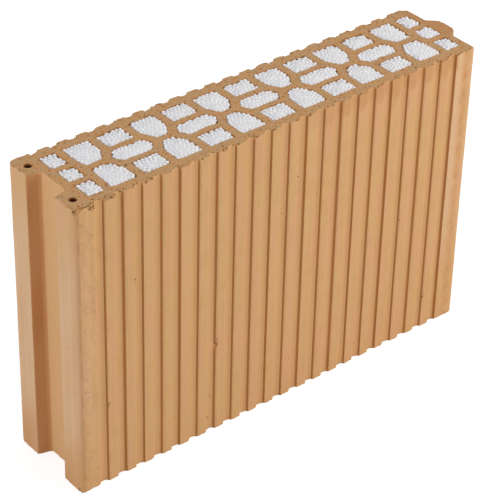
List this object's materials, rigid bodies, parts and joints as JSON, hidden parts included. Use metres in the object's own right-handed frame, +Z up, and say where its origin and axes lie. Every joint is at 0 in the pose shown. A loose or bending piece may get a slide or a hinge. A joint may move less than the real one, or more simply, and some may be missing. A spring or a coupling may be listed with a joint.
{
  "type": "clay ring beam block",
  "caption": "Slim upright fired clay block with ribbed faces, a tongue and a groove at its ends, and through cells all filled with white insulation beads.",
  "frame": {"origin": "middle of the underside of the block's overall box, tongue included", "axes": "+X along the block from the grooved end to the tongued end, +Y from the front face to the back face, +Z up along the cells"},
  "size_m": [0.3836, 0.08, 0.249],
  "materials": {
    "fired_clay": "matte",
    "bead_insulation": "matte"
  },
  "bodies": {
    "root": {"clay_block": "fired_clay", "bead_fill_front_1": "bead_insulation", "bead_fill_front_2": "bead_insulation", "bead_fill_front_3": "bead_insulation", "bead_fill_front_4": "bead_insulation", "bead_fill_front_5": "bead_insulation", "bead_fill_front_6": "bead_insulation", "bead_fill_front_7": "bead_insulation", "bead_fill_front_8": "bead_insulation", "bead_fill_front_9": "bead_insulation", "bead_fill_front_10": "bead_insulation", "bead_fill_front_11": "bead_insulation", "bead_fill_front_12": "bead_insulation", "bead_fill_front_13": "bead_insulation", "bead_fill_middle_1": "bead_insulation", "bead_fill_middle_2": "bead_insulation", "bead_fill_middle_3": "bead_insulation", "bead_fill_middle_4": "bead_insulation", "bead_fill_middle_5": "bead_insulation", "bead_fill_middle_6": "bead_insulation", "bead_fill_middle_7": "bead_insulation", "bead_fill_back_1": "bead_insulation", "bead_fill_back_2": "bead_insulation", "bead_fill_back_3": "bead_insulation", "bead_fill_back_4": "bead_insulation", "bead_fill_back_5": "bead_insulation", "bead_fill_back_6": "bead_insulation", "bead_fill_back_7": "bead_insulation", "bead_fill_back_8": "bead_insulation", "bead_fill_back_9": "bead_insulation", "bead_fill_back_10": "bead_insulation", "bead_fill_back_11": "bead_insulation", "bead_fill_back_12": "bead_insulation", "bead_fill_back_13": "bead_insulation"}
  },
  "joints": []
}
